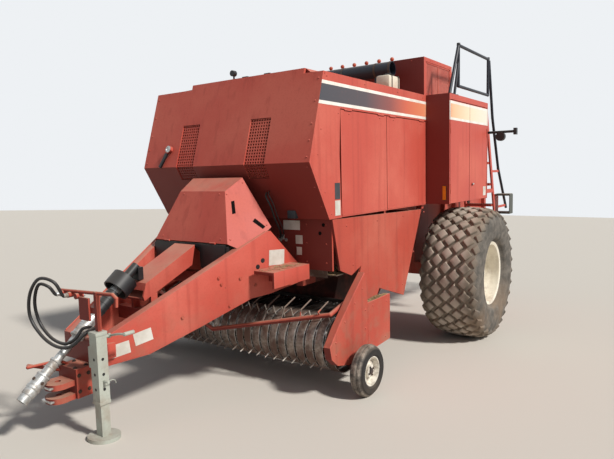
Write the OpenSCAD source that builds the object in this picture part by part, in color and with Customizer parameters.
/* [Stance] */
// Nose-down lean of the parked machine, in degrees
lean = 3.5; // [3:0.1:4]
// Height of the hitch pin's centre in the machine's own level frame
hitch_z = 560; // [540:5:590]
// Distance from the axle to the hitch pin
hitch_y = 4400; // [4390:5:4420]

/* [Main wheels] */
// Outer radius of a main tyre over its lugs
tyre_r = 760; // [740:5:780]
// Width of a main tyre
tyre_w = 670; // [640:10:690]
// Distance from the centreline to the outer face of a main tyre
tyre_out = 1575; // [1560:5:1600]
// Height of the tread lugs
lug_h = 34; // [20:2:45]
// Number of lugs round one row
lug_n = 28; // [24:1:30]
// Radius of the rim flange
rim_r = 362; // [345:1:375]
// Half width of the square axle beam
axle_s = 75; // [60:5:90]

/* [Hood] */
// Width over the hood's side panels
hood_w = 1960; // [1900:10:2000]
// Height of the roof's side edge
roof_z = 2755; // [2720:5:2800]
// Rise of the raised centre panel above the roof's edge
roof_rise = 45; // [30:5:70]
// Front edge of the roof, forward of the axle
roof_front = 2610; // [2580:5:2640]
// Forward reach of the nose crease
nose_y = 2830; // [2800:5:2860]
// Height of the nose crease
nose_z = 2040; // [2000:5:2080]
// Chin of the hood where the front sheet tucks under, forward of the axle
chin_y = 2563; // [2560:1:2580]
// Height of the hood's lower edge
sill_z = 1575; // [1570:1:1585]
// Rear edge of the hood, forward of the axle
hood_back = 617; // [610:1:625]
// Thickness of the folded sheet panels with their edges
skin = 24; // [18:1:30]
// Height of the lower edge of the striped band over the doors
band_z = 2480; // [2460:5:2510]
// Forward edge of the front side door
door_front = 2370; // [2350:5:2400]
// Seam between the two side doors
door_seam = 1540; // [1480:10:1600]
// Running gap round every door
door_gap = 8; // [7:1:10]

/* [Grilles] */
// Width of one front grille
vent_w = 220; // [200:10:240]
// Distance from the centreline to a grille's inner edge
vent_x = 305; // [300:5:330]
// Height of the top of the grilles
vent_top = 2420; // [2400:5:2440]
// Height of the bottom of the grilles, below the crease
vent_bot = 1920; // [1900:5:1930]
// Columns of slots in a grille
vent_cols = 8; // [6:1:9]
// Rows of slots above the crease
vent_rows = 15; // [12:1:16]

/* [Bale chamber] */
// Inside width of the bale chamber
ch_w = 1200; // [1180:5:1210]
// Inside height of the bale chamber
ch_h = 1270; // [1240:5:1280]
// Height of the chamber's floor
ch_z = 1020; // [1015:5:1030]
// Thickness of the chamber's walls
ch_t = 40; // [30:2:44]
// Reach of the chamber behind the axle
ch_back = 2400; // [2300:20:2500]
// Reach of the chamber ahead of the axle
ch_front = 2300; // [2280:5:2320]

/* [Twine boxes] */
// Distance from the centreline to the outer face of a twine box
twine_out = 1245; // [1235:5:1260]
// Reach of a twine box behind the axle
twine_back = 664; // [650:2:680]
// Height of a twine box's floor
twine_z = 1585; // [1582:1:1595]
// Thickness of a twine box's sheet walls
twine_t = 24; // [18:2:28]
// Thickness of a twine box door
twine_door_t = 26; // [20:1:28]
// Seam between the two twine box doors, behind the axle
twine_seam = 10; // [-40:5:60]

/* [Knotter housing] */
// Half width of the raised knotter housing
knot_x = 900; // [860:10:930]
// Height of the knotter housing's roof
knot_z = 3195; // [3150:5:3230]
// Front of the knotter housing, forward of the axle
knot_front = 480; // [460:5:500]
// Rear of the knotter housing, behind the axle
knot_back = 350; // [320:5:400]
// Radius of the blower's tube
blow_r = 80; // [70:5:90]

/* [Pickup] */
// Distance from the axle forward to the reel's shaft
reel_y = 2500; // [2490:5:2510]
// Height of the reel's shaft
reel_z = 535; // [530:1:540]
// Radius of the curved stripper bands
band_r = 235; // [225:5:240]
// Radius of the tine tips
tine_r = 318; // [305:1:322]
// Number of stripper bands across the pickup
band_n = 23; // [20:1:26]
// Width of one stripper band
band_w = 46; // [40:2:52]
// Distance from the centreline to the outer face of an end housing
end_out = 1170; // [1160:5:1180]
// Thickness of an end housing
end_t = 60; // [55:1:66]
// Radius of a gauge tyre
gauge_r = 210; // [205:1:214]
// Width of a gauge tyre
gauge_w = 115; // [100:5:120]
// Distance from the centreline to the outer face of a gauge wheel
gauge_out = 1353; // [1345:1:1370]
// Distance from the axle forward to the gauge wheels
gauge_y = 2538; // [2530:1:2545]
// Distance from the axle forward to the pickup's pivot
piv_y = 1960; // [1950:5:1970]
// Height of the pickup's pivot
piv_z = 640; // [630:5:650]

/* [Tongue] */
// Outer half width of the tongue at its front
tongue_x = 225; // [220:1:235]
// Outer half width of the tongue at its rear
tongue_x2 = 600; // [590:2:610]
// Front end of the tongue, forward of the axle
tongue_y = 4200; // [4190:5:4210]
// Rear end of the tongue's side beams, forward of the axle
tongue_y2 = 2893; // [2880:1:2900]
// Width of a tongue beam
beam_t = 80; // [70:2:90]
// Diameter of the hitch pin's bore
pin_d = 38; // [32:1:42]
// Side of the jack's outer square tube
jack_s = 76; // [70:2:82]
// Distance from the centreline to the jack
jack_x = 300; // [295:1:310]
// Distance from the axle forward to the jack
jack_y = 4280; // [4276:1:4290]
// Radius of the bore that takes the tractor's drive shaft
pto_r = 17.5; // [17:0.5:22]
// Radius of the hydraulic hoses
hose_r = 11; // [9:1:13]

/* [Ladder] */
// Radius of the black rail tube
rail_r = 17; // [14:1:20]
// Top height of the deck's handrail
rail_z = 3310; // [3250:10:3350]
// Number of ladder steps
step_n = 5; // [4:1:6]

/* [Rear chute] */
// Length of the folding bale chute
chute_l = 1050; // [900:25:1200]
// Number of rollers in the bale chute
roll_n = 6; // [4:1:7]
// Radius of the chute's hinge pin
pin_r = 22; // [18:1:26]

/* [Hidden] */
$fn = 48;
paint = "#B5483A";
dark = "#2B2B2E";
rubber = "#4A4640";
steel = "#B9BCBB";
cream = "#E6E0D0";

axle_z = tyre_r;
hx = hood_w / 2;
cx = ch_w / 2 + ch_t;
ch_top = ch_z + ch_h + ch_t;
ch_low = ch_z - ch_t;
tyre_x = tyre_out - tyre_w / 2;
door_x = hx + 2;
door_low = sill_z + 5;
nose_run = nose_y - roof_front;
nose_drop = roof_z - nose_z;

// Height of the ground in the level frame of the machine, at a place along it
function ground_at(y) = axle_z * (1 - 1 / cos(lean)) - y * tan(lean);
// Place of the front face of the hood at a height above the crease
function face_y(z) = -nose_y + (z - nose_z) * nose_run / nose_drop;
// Place of the tucked-under front sheet at a height below the crease
function tuck_y(z) = -nose_y + (nose_z - z) * (nose_y - chin_y) / (nose_z - sill_z);
// Outer half width of the tongue at a place along it
function tongue_at(y) = tongue_x + (y + tongue_y) * (tongue_x2 - tongue_x) / (tongue_y - tongue_y2);
// Height of the tongue's top edge at a place along it
function tongue_top(y) = 893 + (y + 4180) * 0.47;

// The machine in its own level frame, set down nose low on its jack about the hitch pin
module parked() {
    rotate([lean, 0, 0]) translate([0, hitch_y, -hitch_z]) children();
}
module box(a, b) {
    translate(a) cube(b - a);
}
module both() {
    children();
    mirror([1, 0, 0]) children();
}
module side(s) {
    if (s > 0) children();
    else mirror([1, 0, 0]) children();
}
// Outline drawn in length and height, drawn out across the machine
module across(x0, x1) {
    translate([x0, 0, 0]) rotate([90, 0, 90]) linear_extrude(x1 - x0) children();
}
// Outline drawn in width and height, drawn out along the machine
module along(y0, y1) {
    translate([0, y1, 0]) rotate([90, 0, 0]) linear_extrude(y1 - y0) children();
}
module rod(p, q, r) {
    d = q - p;
    l = norm(d);
    translate(p) rotate([0, acos(d[2] / l), atan2(d[1], d[0])]) cylinder(h = l, r = r, $fn = 24);
}
module pipe_run(pts, r) {
    for (i = [0:len(pts) - 2]) rod(pts[i], pts[i + 1], r);
    for (i = [1:len(pts) - 2]) translate(pts[i]) sphere(r = r * 1.06, $fn = 24);
}
module wheel_axis(x, y, z) {
    translate([x, y, z]) rotate([0, 90, 0]) children();
}

module bale_chamber() parked() color(paint) {
    stuffer_chute();
    difference() {
        box([-cx, -ch_front, ch_low], [cx, ch_back, ch_top]);
        box([-ch_w / 2, -ch_front - 1, ch_z], [ch_w / 2, ch_back + 1, ch_top - ch_t]);
    }
}
module chamber_frames() parked() color(paint) {
    tension_rails();
    for (y = [1050, 1650, ch_back - 100]) {
        box([-cx, y, ch_top], [cx, y + 80, ch_top + 50]);
        box([-cx, y, ch_low - 50], [cx, y + 80, ch_low]);
        both() box([cx, y, ch_low], [cx + 50, y + 80, ch_top]);
    }
    // Ears that carry the chute's hinge pin
    both() difference() {
        box([cx - 38, ch_back, ch_z - 100], [cx - 10, ch_back + 75, ch_z - 10]);
        wheel_axis(cx - 40, ch_back + 40, ch_z - 60) cylinder(h = 32, r = pin_r + 0.3);
    }
}
module plunger() parked() color(steel) {
    difference() {
        box([-ch_w / 2 + 6, -1500, ch_z + 0.3], [ch_w / 2 - 6, -1200, ch_z + ch_h - 6]);
        for (i = [-2.5:1:2.5]) box([i * 170 - 14, -1300, ch_z - 1], [i * 170 + 14, -1199, ch_z + ch_h + 1]);
    }
}
module tension_rails() {
    for (x = [-440, -150, 150, 440])
        box([x - 45, 1180, ch_top + 0.3], [x + 45, 1640, ch_top + 70]);
    both() for (z = [ch_z + 250, ch_z + 620, ch_z + 990])
        box([cx + 0.3, 1180, z - 45], [cx + 60, 1640, z + 45]);
}
module density_rams() parked() color(dark) {
    both() {
        rod([cx + 110, 1350, ch_z + 300], [cx + 110, 1350, ch_z + 900], 38);
        rod([cx + 110, 1350, ch_z + 900], [cx + 110, 1350, ch_z + 1120], 20);
        box([cx + 60, 1310, ch_z + 230], [cx + 140, 1390, ch_z + 300]);
        box([cx + 60, 1310, ch_z + 1120], [cx + 140, 1390, ch_z + 1190]);
    }
}
module needle_frame() parked() color(paint) {
    both() {
        across(cx, cx + 54) polygon([[300, ch_z - 90], [380, ch_z - 90], [700, ch_z + 60],
            [760, ch_z + 560], [680, ch_z + 600], [600, ch_z + 110]]);
    }
    box([-cx - 54, 295, ch_low - 130], [cx + 54, 385, ch_low - 50]);
    both() box([cx, 300, ch_low - 60], [cx + 54, 380, ch_z - 80]);
}
module stuffer_chute() {
    across(-cx, cx) polygon([[-1900, ch_low], [-2050, 620], [-1700, 470], [-1250, 520],
        [-1000, 720], [-900, ch_low]]);
}
module axle() parked() color(paint) {
    box([-tyre_x + 190, -axle_s, axle_z - axle_s], [tyre_x - 190, axle_s, axle_z + axle_s]);
    both() {
        wheel_axis(tyre_x - 195, 0, axle_z) cylinder(h = 305, r = 50);
        box([cx - 120, -140, axle_z + axle_s], [cx - 20, 140, ch_low]);
    }
}

// Profile of the bent front sheet, from the roof round the crease to the chin
module front_profile(z0, z1, y_in) {
    top = [[face_y(z1), z1], [face_y(z1) + y_in, z1]];
    polygon(z0 > nose_z ? [top[0], [face_y(z0), z0], [face_y(z0) + y_in, z0], top[1]] :
        [top[0], [-nose_y, nose_z], [tuck_y(z0), z0], [tuck_y(z0) + y_in, z0], [-nose_y + y_in, nose_z], top[1]]);
}
module hood_front() parked() color(paint) {
    difference() {
        union() {
            across(-hx, hx) front_profile(sill_z, roof_z, skin);
            across(-500, hx - 190) front_profile(nose_z + 200, roof_z + roof_rise, skin);
        }
        both() box([vent_x, -nose_y - 50, vent_bot], [vent_x + vent_w, -roof_front, vent_top]);
    }
    // Round lock with its lever
    translate([-644, face_y(2200), 2200]) rotate([90 - atan(nose_run / nose_drop), 0, 0]) {
        cylinder(h = 30, r = 34);
        rotate([0, 0, 155]) translate([-14, 0, 12]) cube([28, 190, 16]);
    }
}
// One slotted plate lying in the sheet, from its foot up the slope
module grille_plate(rise, run, rows) {
    l = sqrt(rise * rise + run * run);
    pitch_x = vent_w / vent_cols;
    pitch_y = l / rows;
    linear_extrude(skin / 2) difference() {
        square([vent_w, l - 1]);
        for (i = [0:vent_cols - 1], j = [0:rows - 1])
            translate([(i + 0.2) * pitch_x, (j + 0.2) * pitch_y]) square([pitch_x * 0.62, pitch_y * 0.6]);
    }
}
module front_grilles() parked() color(dark) {
    up = vent_top - nose_z;
    low = nose_z - vent_bot;
    up_run = face_y(vent_top) + nose_y;
    low_run = tuck_y(vent_bot) + nose_y;
    both() translate([vent_x, -nose_y + skin * 0.25, nose_z + 1])
        rotate([90 - atan(up_run / up), 0, 0]) mirror([0, 0, 1]) translate([0, 0, 1])
            grille_plate(up - 4, up_run, vent_rows);
    both() translate([vent_x, tuck_y(vent_bot) + skin * 0.25, vent_bot + 1])
        rotate([90 + atan(low_run / low), 0, 0]) mirror([0, 0, 1]) translate([0, 0, 1])
            grille_plate(low - 6, low_run, round(vent_rows / 3));
}
module hood_roof() {
    y0 = -roof_front + skin + 0.3;
    y1 = -hood_back;
    along(y0, y1) polygon([[-hx, roof_z - skin], [hx, roof_z - skin], [hx, roof_z], [-hx, roof_z]]);
    along(y0 + roof_rise * nose_run / nose_drop + 0.5, y1) polygon([[-hx, roof_z - 1], [hx, roof_z - 1], [hx, roof_z],
        [hx - 150, roof_z + 12], [hx - 190, roof_z + roof_rise], [-500, roof_z + roof_rise], [-520, roof_z + 12], [-hx, roof_z]]);
}
// Fixed side sheet: the wedge ahead of the doors and the striped band above them
module hood_sides() {
    y0 = skin + 0.3;
    // The left one's rear edge is bowed: a dent leaves a gap ahead of the door
    for (s = [-1, 1], bow = s > 0 ? 22 : 0) side(s) across(hx - skin, hx) polygon([[face_y(roof_z - skin) + y0, roof_z - skin + 1],
        [-nose_y + y0, nose_z], [tuck_y(sill_z + 1) + y0, sill_z + 1], [-door_front, sill_z + 1],
        [-door_front - bow * 0.6, sill_z + 200], [-door_front - bow, nose_z + 60], [-door_front - bow * 0.5, nose_z + 260],
        [-door_front, band_z - 60], [-door_front, band_z], [-hood_back - 1, band_z], [-hood_back - 1, roof_z - skin + 1]]);
    // Posts and rails behind the doors
    both() {
        box([hx - 2 * skin - 30, -door_front - 45, sill_z + 10], [hx - skin + 0.5, -door_front - 5, roof_z - skin + 1]);
        box([hx - 90, -door_seam - 20, sill_z - 40], [hx - skin - 4, -door_seam + 20, roof_z - skin + 1]);
        box([hx - 90, -hood_back - 60, sill_z - 40], [hx - skin - 4, -hood_back - 4, roof_z - skin + 1]);
    }
    for (y = [-door_seam - 20, -hood_back - 60]) both() box([cx, y, 2240], [hx - 85, y + 40, 2290]);
}
module hood_shell() parked() color(paint) {
    hood_roof();
    hood_sides();
}
// A hood side door, hung from its top edge under the striped band
module side_door(y0, y1) {
    box([hx - skin, y0 + door_gap / 2, door_low], [hx, y1 - door_gap / 2, band_z - door_gap]);
    for (y = [y0 + 60, y1 - 180])
        rod([hx, y, band_z - door_gap], [hx, y + 120, band_z - door_gap], door_gap - 0.3);
}
module left_front_door() parked() color(paint) side(1) side_door(-door_front, -door_seam);
module left_rear_door() parked() color(paint) side(1) side_door(-door_seam, -hood_back - 7);
module right_front_door() parked() color(paint) side(-1) side_door(-door_front, -door_seam);
module right_rear_door() parked() color(paint) side(-1) side_door(-door_seam, -hood_back - 7);

module lower_side_panels() {
    both() {
        across(hx - 20, hx) polygon([[-2520, sill_z - 4], [-747, 1534], [-1197, 682], [-1880, 905],
            [-2110, 990], [-2060, 1120], [-2230, 1060], [-2412, 1130]]);
        // Bracket that carries the pickup's pivot pin
        difference() {
            across(hx - 20, hx) polygon([[-2000, 600], [-1920, 600], [-1700, 880], [-1700, 960], [-2040, 960], [-2040, 900]]);
            wheel_axis(hx - 30, -piv_y, piv_z) cylinder(h = 50, r = 30.3);
        }
        for (y = [-1780, -1130]) box([cx, y, 1180], [hx - 20, y + 60, 1240]);
        box([cx + 52, -1000, 1500], [hx - 20, -960, 1540]);
    }
}
module bulkhead() {
    both() box([cx + 5, -2500, 1135], [hx - 22, -2480, sill_z - 6]);
    both() box([cx + 5, -2480, 1400], [hx - 22, -ch_front, 1440]);
    both() box([cx - 60, -2500, ch_low], [cx + 5, -ch_front, sill_z - 6]);
    box([-cx + 60, -2500, 1330], [cx - 60, -2470, sill_z - 6]);
}

module lower_panels() parked() color(paint) {
    lower_side_panels();
    bulkhead();
}

// Hollow cabinet open on its outer side
module twine_box() {
    x0 = cx + 52;
    x1 = twine_out - twine_door_t;
    difference() {
        box([x0, -hood_back, twine_z], [x1, twine_back, roof_z]);
        box([x0 + twine_t, -hood_back + twine_t, twine_z + twine_t], [x1 + 1, twine_back - twine_t, roof_z - twine_t]);
    }
    // Corner edges that close flush beside the doors
    box([x1, -hood_back, twine_z], [twine_out, -hood_back + twine_t - 2, roof_z]);
    box([x1, twine_back - twine_t + 2, twine_z], [twine_out, twine_back, roof_z]);
    box([x1, -hood_back, roof_z - 60], [twine_out, twine_back, roof_z]);
    // Shelves for the twine balls
    for (z = [twine_z + 380, twine_z + 760])
        box([x0 + twine_t, -hood_back + twine_t, z], [x1 - 60, twine_back - twine_t, z + 16]);
    box([cx, -hood_back + 60, 1700], [x0, -hood_back + 140, 1780]);
    box([cx, twine_back - 140, 1700], [x0, twine_back - 60, 1780]);
}
twine_y0 = -hood_back + twine_t - 2 + door_gap;
twine_y1 = twine_back - twine_t + 2 - door_gap;
module twine_boxes() parked() color(paint) both() {
    twine_box();
    barrels(twine_y0, -1);
    barrels(twine_y1, 1);
}
// Hinge barrels stand on the doors' turning edges, a door's barrel under each barrel of the box
barrel_z = [twine_z + 110, roof_z - 420];
module twine_door(y0, y1, turn_y) {
    difference() {
        box([twine_out - twine_door_t, y0, twine_z + 6], [twine_out, y1, roof_z - 60 - door_gap]);
        for (z = barrel_z) rod([twine_out, turn_y, z + 49], [twine_out, turn_y, z + 101], 11.5);
    }
    for (z = barrel_z) rod([twine_out, turn_y, z], [twine_out, turn_y, z + 48], 6);
}
module barrels(turn_y, toward) {
    for (z = barrel_z) {
        rod([twine_out, turn_y, z + 51], [twine_out, turn_y, z + 99], 6);
        translate([twine_out - 5, min(turn_y, turn_y + toward * 14), z + 51]) cube([8, 14, 48]);
    }
}
module latch(y) {
    wheel_axis(twine_out, y, 1780) cylinder(h = 10, r = 18);
}
module twine_door_a() twine_door(twine_y0, twine_seam - door_gap / 2, twine_y0);
module twine_door_b() {
    twine_door(twine_seam + door_gap / 2, twine_y1, twine_y1);
    latch(twine_seam + 90);
}
module left_twine_door_a() parked() color(paint) side(1) twine_door_a();
module left_twine_door_b() parked() color(paint) side(1) twine_door_b();
module right_twine_door_a() parked() color(paint) side(-1) twine_door_a();
module right_twine_door_b() parked() color(paint) side(-1) twine_door_b();

module knotter_housing() parked() color(paint) {
    difference() {
        box([-knot_x, -knot_front, roof_z], [knot_x, knot_back, knot_z]);
        box([-knot_x + skin, -knot_front + skin, roof_z - 1], [knot_x - skin, knot_back - skin, knot_z - skin]);
        // Recessed side screens
        both() box([knot_x - skin * 0.4, -knot_front + 60, roof_z + 40], [knot_x + 1, knot_back - 60, knot_z - 45]);
    }
    // Deck between the twine boxes and the walls of the knotter bay
    box([-cx - 52, -hood_back + 0.3, roof_z - skin], [cx + 52, twine_back, roof_z]);
    both() box([cx - 40, -hood_back + 60, ch_top], [cx - 16, twine_back - 100, roof_z - skin]);
}
module blower_tube() parked() color(dark) {
    y = -hood_back - 85;
    z = roof_z + 312;
    difference() {
        wheel_axis(-700, y, z) cylinder(h = 1330, r = blow_r);
        wheel_axis(560, y, z) cylinder(h = 80, r = blow_r - 8);
    }
    for (x = [-520, 0, 420]) box([x, y - 25, roof_z + roof_rise], [x + 30, y + 25, z - blow_r * 0.9]);
}
module knotter_flags() {
    for (i = [-2.5:1:2.5]) {
        rod([i * 170, -306, knot_z], [i * 170, -306, knot_z + 42], 6);
        translate([i * 170, -306, knot_z + 58]) sphere(r = 24, $fn = 24);
    }
}
module oil_tank() {
    box([620, -1080, roof_z + roof_rise], [780, -830, roof_z + 190]);
    translate([700, -950, roof_z + 190]) cylinder(h = 30, r = 35);
}
module front_lamp() {
    y = -roof_front + 60;
    z = roof_z + roof_rise;
    rod([-20, y, z], [-20, y, z + 40], 8);
    translate([-20, y + 15, z + 58]) rotate([90, 0, 0]) cylinder(h = 40, r = 26);
    for (x = [120, 370]) box([x - 30, y - 15, z], [x + 30, y + 20, z + 14]);
}
module roof_fittings() parked() color(cream) {
    knotter_flags();
    oil_tank();
}
module handrail() parked() color(dark) {
    x = twine_out - 45;
    y0 = -240;
    y1 = 800;
    pipe_run([[x, -500, roof_z + rail_r * 0.6], [x, y0, rail_z], [x, y1, rail_z], [x, y1, rail_z - 440], [x, y0, rail_z - 440],
        [x, y0, rail_z]], rail_r);
    rod([x, -360, roof_z + rail_r * 0.6], [x, y0, rail_z - 180], rail_r * 0.85);
    for (y = [-500, -360]) translate([x, y, roof_z]) cylinder(h = 8, r = 42);
    // Long grab rail beside the ladder
    pipe_run([[x, y1 + 36, rail_z - 10], [x, 1000, 2600], [x, 1270, 1950], [x, 1660, 1400]], rail_r);
    box([x - 10, y1 + 5, rail_z - 60], [x + 10, y1 + 40, rail_z - 20]);
}
module ladder() parked() color(paint) {
    x = twine_out - 45;
    top = [x, twine_back + 60, roof_z];
    foot = [x, 1120, 1370];
    for (dx = [0, -380]) difference() {
        hull() {
            translate(top + [dx - 10, -28, -20]) cube([20, 56, 20]);
            translate(foot + [dx - 10, -28, 0]) cube([20, 56, 20]);
        }
        translate(foot + [dx - 11, 0, 60]) rotate([0, 90, 0]) cylinder(h = 22, r = 9);
    }
    for (i = [0:step_n - 1]) {
        f = (i + 0.35) / step_n;
        p = foot + (top - foot) * f;
        box(p + [-370, -70, -14], p + [-10, 70, 14]);
    }
    for (dx = [0, -380]) {
        box([x + dx - 10, twine_back, roof_z - 90], [x + dx + 10, twine_back + 80, roof_z - 30]);
        box([x + dx - 10, twine_back, 1640], [x + dx + 10, twine_back + 360, 1690]);
    }
    // Fold-down steps beside the ladder's foot
    for (z = [1352, 1590]) box([x - 3, 1130, z], [x + 196, 1280, z + 20]);
    for (dx = [-3, 188]) box([x + dx, 1130, 1352], [x + dx + 8, 1280, 1610]);
    // Ties from the grab rail to the ladder's side
    box([x - 8, 980, 1900], [x + 8, 1262, 1930]);
    box([x - 8, 1100, 1420], [x + 8, 1603, 1450]);
}
lamp_y = twine_back + 84;
module rear_lamps() {
    both() {
        box([1060, twine_back, 2360], [1140, twine_back + 12, 2440]);
        rod([1100, twine_back + 10, 2400], [1100, lamp_y + 10, 2400], 16);
        rod([1085, lamp_y, 2400], [1560, lamp_y, 2400], 16);
        translate([1380, lamp_y, 2345]) rotate([90, 0, 0]) translate([0, 0, -30]) cylinder(h = 60, r = 55);
        box([1540, lamp_y - 30, 2360], [1575, lamp_y + 30, 2440]);
    }
}
module side_reflectors() {
    both() box([twine_out - 75, -hood_back - 2.8, 1625], [twine_out - 35, -hood_back - 0.3, 1785]);
}

module lamps() parked() color(dark) {
    rear_lamps();
    side_reflectors();
    front_lamp();
}

// One deep tapered side beam of the tongue
module tongue_beam() {
    intersection() {
        translate([0, 0, 400]) linear_extrude(1400) polygon([[tongue_at(-tongue_y) - beam_t, -tongue_y],
            [tongue_at(-tongue_y), -tongue_y], [tongue_x2, -tongue_y2], [tongue_x2, -tongue_y2 + 420],
            [tongue_x2 - beam_t, -tongue_y2 + 420], [tongue_x2 - beam_t, -tongue_y2]]);
        across(0, 800) polygon([[-tongue_y, 700], [-tongue_y, tongue_top(-tongue_y)], [-tongue_y2, tongue_top(-tongue_y2)],
            [-2500, 1500], [-2500, 1010], [-3062, 975], [-3505, 832], [-3890, 717]]);
    }
}
module tongue() parked() color(paint) {
    side_step();
    both() tongue_beam();
    box([-tongue_x + beam_t - 1, -tongue_y, 700], [tongue_x - beam_t + 1, -tongue_y + 60, 862]);
    box([-300, -3700, 860], [300, -3620, 960]);
    box([-tongue_x2 + beam_t - 1, -2960, 1010], [tongue_x2 - beam_t + 1, -2880, 1110]);
    // Root of the jack's socket
    box([tongue_x - 10, -tongue_y, 760], [jack_x - jack_s / 2 + 6, -tongue_y + 70, 860]);
}
module hitch() parked() color(paint) {
    difference() {
        union() {
            box([-105, -4330, 500], [105, -tongue_y - 0.3, 700]);
            for (z = [hitch_z - 65, hitch_z + 27]) {
                box([-80, -hitch_y, z], [80, -4300, z + 38]);
                translate([0, -hitch_y, z]) cylinder(h = 38, r = 85);
            }
        }
        translate([0, -hitch_y, hitch_z - 80]) cylinder(h = 180, r = pin_d / 2);
    }
    // Loop of the safety chain's anchor
    pipe_run([[-60, -tongue_y - 50, 670], [-75, -4340, 735], [-120, -4530, 735], [-170, -4500, 730], [-70, -tongue_y - 50, 630]], 11);
}
module jack() parked() color(steel) {
    s = jack_s;
    ground = ground_at(-jack_y);
    difference() {
        box([jack_x - s / 2, -jack_y - s / 2, 500], [jack_x + s / 2, -jack_y + s / 2, 978]);
        box([jack_x - s / 2 + 7, -jack_y - s / 2 + 7, 499], [jack_x + s / 2 - 7, -jack_y + s / 2 - 7, 970]);
    }
    box([jack_x - s / 2 + 6, -jack_y - s / 2 + 6, ground + 20], [jack_x + s / 2 - 6, -jack_y + s / 2 - 6, 700]);
    // Foot, flat on the ground the machine leans over
    translate([jack_x, -jack_y, ground]) rotate([-lean, 0, 0]) translate([0, 0, 0.5]) cylinder(h = 24, r = 105);
    box([jack_x - s / 2 - 14, -jack_y - 20, 560], [jack_x - s / 2, -jack_y + 60, 660]);
    // Bracket on the tongue
    box([jack_x - s / 2 - 20, -jack_y - s / 2, 740], [jack_x - s / 2, -tongue_y - 0.3, 880]);
    // Crank
    rod([jack_x, -jack_y + s / 2, 930], [jack_x, -jack_y + s / 2 + 40, 930], 11);
}
module hose_rack() parked() color(paint) {
    x = jack_x;
    y = -jack_y + 10;
    box([x - 14, y - 14, 978.3], [x + 14, y + 14, 1235]);
    pipe_run([[-110, y, 1205], [470, y, 1235], [505, y, 1215], [500, y, 1160]], 12);
    box([135, y - 26, 1040], [243, y - 12, 1190]);
    box([235, y - 12, 1090], [x - 14, y - 4, 1130]);
    for (x = [-70, 20, 110]) translate([x, y, 1190]) rotate([90, 0, 0]) translate([0, 0, -20]) cylinder(h = 52, r = 19);
}
module driveline_tunnel() parked() color(paint) {
    difference() {
        across(-120, 120) polygon([[-3240, 1404], [-3278, 1246], [-3760, 1048], [-3770, 1080], [-3740, 1177]]);
        across(-105, 105) polygon([[-3230, 1385], [-3262, 1262], [-3770, 1061], [-3780, 1081], [-3735, 1162]]);
    }
    both() box([95, -3700, 960], [119, -3640, 1090]);
}
// Slope of the driveline where it leaves the tunnel, and its joint's centre
drive_at = [0, -3887, 1172];
drive_end = [0, -4600, 605];
drive_dir = (drive_end - drive_at) / norm(drive_end - drive_at);
ball_r = 45;
module driveline_guard() {
    back = drive_at - drive_dir * (ball_r + 30);
    difference() {
        rod(back, drive_at + drive_dir * 40, 98);
        rod(back + drive_dir * 12, drive_at + drive_dir * 60, 86);
    }
    rod(back + drive_dir * 10, drive_at - drive_dir * (ball_r + 0.3), 30);
    rod(back + drive_dir * 2, back - drive_dir * 130, 34);
    box([-45, -3745, 1195.5], [45, -3700, 1290]);
}
module main_drive() parked() color(dark) {
    rod([0, -3010, 1540], [0, -2700, 1540], 55);
    rod([0, -2700, 1480], [0, -2500, 1480], 55);
    translate([0, -2860, 1540]) rotate([90, 0, 0]) difference() {
        cylinder(h = 80, r = 290);
        for (k = [0:5]) rotate([0, 0, k * 60]) translate([170, 0, -1]) cylinder(h = 82, r = 48);
    }
    box([-230, -2790, 1350], [230, -2640, 1600]);
}
// Four-sided tapered hood: a foot ring and a top ring of corners
module frustum(foot, top) {
    hull() polyhedron(points = concat(foot, top), faces = [[3, 2, 1, 0], [4, 5, 6, 7],
        [1, 5, 4, 0], [2, 6, 5, 1], [3, 7, 6, 2], [0, 4, 7, 3]]);
}
function shield_ring(g, fx, fy, fz, rx, ry, rz) =
    [[-fx + g, fy + g, fz], [-rx + g, ry - g, rz], [rx - g, ry - g, rz], [fx - g, fy + g, fz]];
module driveline_shield() parked() color(paint) {
    t = 12;
    difference() {
        frustum(shield_ring(0, 427, -3185, 1418, 585, -2830, 1527), shield_ring(0, 265, -3020, 1825, 295, -2838, 1933));
        frustum(shield_ring(t, 427, -3185, 1410, 585, -2790, 1519), shield_ring(t, 265, -3020, 1811, 295, -2790, 1919));
    }
    for (x = [-300, 240]) wheel_axis(x, -3192, 1418) cylinder(h = 60, r = 7.7);
}
module shield_flaps() {
    both() {
        box([130, -3200, 1210], [410, -3194, 1405]);
    }
    box([-410, -3194, 1380], [410, -3170, 1410 - 0.3]);
    both() box([409, -3194, 1320], [tongue_at(-3194) - beam_t - 0.3, -3170, 1396]);
}
module driveline_guards() parked() color(dark) {
    driveline_guard();
    shield_flaps();
}
module pto_shaft() parked() color(steel) {
    a = drive_at;
    u = drive_dir;
    l = norm(drive_end - drive_at);
    difference() {
        union() {
            translate(a) sphere(r = ball_r);
            rod(a, a + u * (l - 625), 40);
            rod(a + u * (l - 640), a + u * (l - 450), 46);
            rod(a + u * (l - 460), a + u * (l - 250), 28);
            rod(a + u * (l - 260), a + u * (l - 120), 34);
            rod(a + u * (l - 130), a + u * l, 44);
            rod(a + u * (l - 10), a + u * (l + 60), 38);
        }
        rod(a + u * (l - 10), a + u * (l + 61), pto_r);
    }
}
module side_step() {
    both() {
        box([tongue_x2, -3080, 1180], [800, -2610, 1205]);
        box([780, -3080, 1080], [800, -2610, 1180]);
        box([tongue_x2 + 0.3, -2900, 1090], [780, -2880, 1180]);
        box([tongue_x2 + 0.3, -2640, 1090], [780, -2620, 1180]);
    }
}
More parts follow.
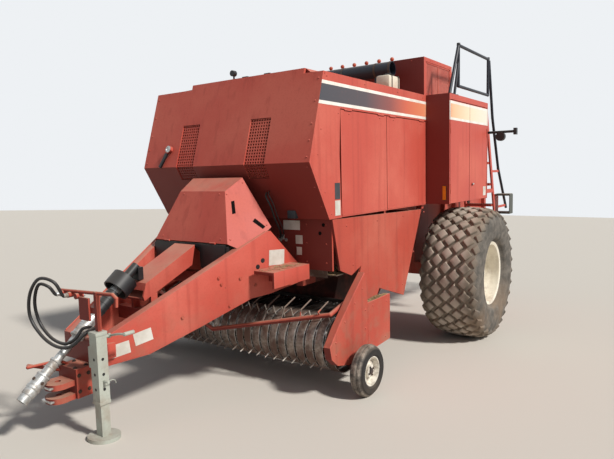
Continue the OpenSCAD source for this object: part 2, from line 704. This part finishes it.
// A tube swept along chosen points
function unit3(v) = v / norm(v);
function tangent(p, i) = unit3(p[min(i + 1, len(p) - 1)] - p[max(i - 1, 0)]);
function smooth(p, n) = [for (i = [0:len(p) - 2], k = [0:n - 1]) let (t = k / n, a = p[max(i - 1, 0)], b = p[i],
    c = p[i + 1], d = p[min(i + 2, len(p) - 1)])
    0.5 * ((2 * b) + (c - a) * t + (2 * a - 5 * b + 4 * c - d) * t * t + (3 * b - 3 * c + d - a) * t * t * t),
    p[len(p) - 1]];
module hose(pts, r, n = 8) {
    p = smooth(pts, 3);
    m = len(p);
    ring = [for (i = [0:m - 1]) let (t = tangent(p, i), u = unit3(cross(t, [0.9, 0.1, 0.42])), w = cross(t, u))
        for (k = [0:n - 1]) p[i] + r * (cos(k * 360 / n) * u + sin(k * 360 / n) * w)];
    polyhedron(points = ring, faces = concat([[for (k = [0:n - 1]) n - 1 - k]], [[for (k = [0:n - 1]) (m - 1) * n + k]],
        [for (i = [0:m - 2], k = [0:n - 1]) [i * n + k, i * n + (k + 1) % n, (i + 1) * n + (k + 1) % n, (i + 1) * n + k]]));
}
hose_paths = [
    [[-70, -4302.4, 1190], [-70, -4318, 1190], [-71, -4336, 1195], [-82, -4372, 1250], [-155, -4400, 1258],
        [-228, -4395, 1130], [-222, -4375, 990], [-120, -4360, 895], [20, -4350, 870], [105, -4325, 905],
        [118, -4270, 965], [100, -4198, 955], [88, -4172, 908], [88, -4170, 884], [88, -4170, 862.3]],
    [[20, -4302.4, 1190], [20, -4318, 1190], [19, -4336, 1196], [0, -4380, 1290], [-100, -4425, 1308],
        [-215, -4432, 1190], [-248, -4422, 1030], [-150, -4400, 905], [0, -4385, 855], [120, -4355, 872],
        [172, -4290, 945], [150, -4202, 958], [132, -4172, 908], [132, -4170, 884], [132, -4170, 862.3]]];
module hoses() parked() color(dark) {
    for (p = hose_paths) hose(p, hose_r);
}

// Pickup: two end housings joined by a cross tube and the wind guard
module pickup_frame() parked() color(paint) {
    both() {
        difference() {
            across(end_out - end_t, end_out) polygon([[-2335, 1120], [-2535, 957], [-2765, 750], [-2885, 618], [-2862, 520],
                [-2780, 450], [-2611, 405], [-1885, 440], [-1880, 850], [-2290, 850]]);
            across(end_out - end_t - 1, end_out - 14) polygon([[-2350, 1070], [-2535, 920], [-2765, 715], [-2855, 610],
                [-2840, 535], [-2760, 475], [-2611, 440], [-2310, 450], [-2310, 830]]);
        }
        wheel_axis(hx - 24, -piv_y, piv_z) cylinder(h = end_out - end_t - hx + 30, r = 30);
        wheel_axis(end_out - 74.7, -reel_y, reel_z) cylinder(h = 62, r = 45);
        // Arm and stub axle of the gauge wheel
        box([end_out, -gauge_y - 30, ground_at(-gauge_y) + gauge_r - 30],
            [end_out + 20, -gauge_y + 190, ground_at(-gauge_y) + gauge_r + 50]);
        wheel_axis(end_out + 19, -gauge_y, ground_at(-gauge_y) + gauge_r / cos(lean))
            cylinder(h = gauge_out - end_out - 60, r = 17);
    }
    wheel_axis(-end_out + end_t, -2000, 520) cylinder(h = 2 * (end_out - end_t), r = 40);
    // Wind guard: a bar that droops to the middle, with fingers over the reel
    guard = [1055, -2700, 824];
    pipe_run([[-end_out + 10, -2420, 925], [-1100, -2420, 925], [-guard[0], guard[1], guard[2]], [0, -2960, 620], guard,
        [1100, -2420, 925], [end_out - 10, -2420, 925]], 19);
    for (s = [-1, 1], f = [0.12:0.16:0.92]) {
        p = [s * guard[0] * f, -2960 + 260 * f, 620 + 204 * f];
        pipe_run([p, [p[0], -2745, 845], [p[0], -2600, 900]], 6);
    }
}
module stripper_bands() parked() color(steel) {
    w = 2 * (end_out - end_t) - 20;
    pitch = w / band_n;
    for (i = [0:band_n - 1]) {
        x = -w / 2 + i * pitch + (pitch - band_w) / 2;
        across(x, x + band_w) difference() {
            union() {
                translate([-reel_y, reel_z]) circle(r = band_r);
                translate([-reel_y, reel_z + band_r - 60]) square([380, 60]);
                translate([-reel_y, reel_z - band_r]) square([300, 50]);
            }
            translate([-reel_y, reel_z]) circle(r = band_r - 8);
            translate([-reel_y, reel_z - band_r + 8]) square([400, 2 * band_r - 16]);
        }
    }
    e = end_out - end_t;
    box([-e, -2125, reel_z + band_r - 16], [e, -2110, reel_z + band_r + 30]);
    box([-w / 2, -2210, reel_z - band_r - 12], [w / 2, -2190, reel_z - band_r + 20]);
}
module tine_reel() parked() color(steel) {
    w = 2 * (end_out - end_t) - 40;
    pitch = (w + 20) / band_n;
    wheel_axis(-end_out + 75, -reel_y, reel_z) cylinder(h = 2 * end_out - 150, r = 30);
    for (x = [-w / 2 + 6, -6, w / 2 - 18]) wheel_axis(x, -reel_y, reel_z) cylinder(h = 12, r = 170);
    for (k = [0:3]) {
        a = k * 90 + 35;
        c = [0, -reel_y + 150 * cos(a), reel_z + 150 * sin(a)];
        rod(c + [-w / 2, 0, 0], c + [w / 2, 0, 0], 16);
        for (i = [1:band_n - 1]) {
            p = c + [-w / 2 - 10 + i * pitch, 0, 0];
            rod(p, p + [0, (tine_r - 150) * cos(a - 14), (tine_r - 150) * sin(a - 14)], 5);
        }
    }
}
// Small smooth tyre with two grooves on a dished disc
module gauge_wheel() {
    z = ground_at(-gauge_y) + gauge_r / cos(lean);
    w = gauge_w / 2;
    wheel_axis(gauge_out - w, -gauge_y, z) {
        rotate_extrude($fn = 64) difference() {
            polygon([[115, -w + 14], [135, -w], [gauge_r - 34, -w], [gauge_r - 8, -w + 22], [gauge_r, 0],
                [gauge_r - 8, w - 22], [gauge_r - 34, w], [135, w], [115, w - 14]]);
            for (g = [-18, 18]) translate([gauge_r - 8, g - 3]) square([10, 6]);
        }
        rotate_extrude($fn = 48) polygon([[18, -30], [50, -30], [50, -8], [100, -20], [112, -w + 10], [120, -w + 10],
            [120, w - 10], [112, w - 10], [100, 0], [50, 12], [50, 34], [18, 34]]);
    }
}
module left_gauge_wheel() parked() color(cream) side(1) gauge_wheel();
module right_gauge_wheel() parked() color(cream) side(-1) gauge_wheel();

// Rows of lugs across the tread: place from the centre as a share of the half width, and drop in radius
lug_row_x = [-0.8, -0.4, 0, 0.4, 0.8];
lug_row_drop = [26, 6, 0, 6, 26];
module lug_row(r, n, turn) {
    step = 360 / n;
    polygon([for (i = [0:n - 1]) let (a = i * step + turn)
        each [[(r - lug_h) * cos(a), (r - lug_h) * sin(a)], [r * cos(a + step * 0.1), r * sin(a + step * 0.1)],
            [r * cos(a + step * 0.6), r * sin(a + step * 0.6)],
            [(r - lug_h) * cos(a + step * 0.7), (r - lug_h) * sin(a + step * 0.7)]]]);
}
module tyre() {
    w = tyre_w / 2;
    row_w = tyre_w * 0.135;
    body_r = tyre_r - lug_h;
    wheel_axis(tyre_x, 0, axle_z) {
        rotate_extrude($fn = 96) polygon([[rim_r - 22.7, -w * 0.7], [rim_r + 0.3, -w * 0.73], [rim_r + 0.3, -w * 0.8],
            [rim_r + 24, -w * 0.87], [rim_r + 130, -w],
            [body_r - 150, -w], [body_r - 62, -w * 0.9], [body_r - 30, -w * 0.8], [body_r - 8, -w * 0.4],
            [body_r - 4, 0], [body_r - 8, w * 0.4], [body_r - 30, w * 0.8], [body_r - 62, w * 0.9],
            [body_r - 150, w], [rim_r + 130, w], [rim_r + 24, w * 0.87], [rim_r + 0.3, w * 0.8],
            [rim_r + 0.3, w * 0.73], [rim_r - 22.7, w * 0.7]]);
        for (i = [0:4]) translate([0, 0, lug_row_x[i] * w - row_w / 2]) linear_extrude(row_w) difference() {
            lug_row(tyre_r - lug_row_drop[i], lug_n, (i % 2) * 180 / lug_n);
            circle(r = rim_r + 150);
        }
    }
}
module rim() {
    w = tyre_w / 2;
    wheel_axis(tyre_x, 0, axle_z) difference() {
        union() {
            rotate_extrude($fn = 96) polygon([[rim_r - 34, -w * 0.78], [rim_r, -w * 0.8], [rim_r, -w * 0.74],
                [rim_r - 23, -w * 0.71], [rim_r - 23, w * 0.71], [rim_r, w * 0.74], [rim_r, w * 0.8], [rim_r - 34, w * 0.78],
                [rim_r - 40, w * 0.5], [rim_r - 70, w * 0.2], [200, w * 0.1], [150, w * 0.3], [120, w * 0.3], [120, w * 0.24],
                [140, w * 0.24], [190, w * 0.02], [rim_r - 60, w * 0.1], [rim_r - 44, -w * 0.1]]);
            translate([0, 0, w * 0.1]) cylinder(h = w * 0.24, r = 125);
            translate([0, 0, w * 0.34]) cylinder(h = 60, r1 = 90, r2 = 70);
            for (k = [0:9]) rotate([0, 0, k * 36]) translate([136, 0, w * 0.29]) cylinder(h = 26, r = 13, $fn = 24);
        }
        translate([0, 0, -w]) cylinder(h = w + 120, r = 50.3);
    }
}
module left_tyre() parked() color(rubber) side(1) tyre();
module right_tyre() parked() color(rubber) side(-1) tyre();
module left_rim() parked() color(cream) side(1) rim();
module right_rim() parked() color(cream) side(-1) rim();

module bale_chute() parked() color(paint) {
    y0 = ch_back + 70;
    wheel_axis(-cx + 12, ch_back + 40, ch_z - 60) cylinder(h = 2 * cx - 24, r = pin_r);
    both() box([cx - 80, ch_back + 12, ch_z - 90], [cx - 50, ch_back + chute_l, ch_z - 30]);
    for (i = [0:roll_n - 1]) wheel_axis(-cx + 60, y0 + 60 + i * (chute_l - 170) / (roll_n - 1), ch_z - 45)
        cylinder(h = 2 * cx - 120, r = 38);
    box([-cx + 60, ch_back + chute_l - 40, ch_z - 90], [cx - 60, ch_back + chute_l, ch_z - 60]);
}

bale_chamber();
plunger();
chamber_frames();
density_rams();
needle_frame();
axle();
hood_front();
front_grilles();
hood_shell();
lower_panels();
left_front_door();
left_rear_door();
right_front_door();
right_rear_door();
twine_boxes();
left_twine_door_a();
left_twine_door_b();
right_twine_door_a();
right_twine_door_b();
knotter_housing();
blower_tube();
roof_fittings();
handrail();
ladder();
lamps();
tongue();
hitch();
jack();
hose_rack();
driveline_tunnel();
driveline_guards();
main_drive();
driveline_shield();
pto_shaft();
hoses();
pickup_frame();
stripper_bands();
tine_reel();
left_gauge_wheel();
right_gauge_wheel();
left_tyre();
left_rim();
right_tyre();
right_rim();
bale_chute();
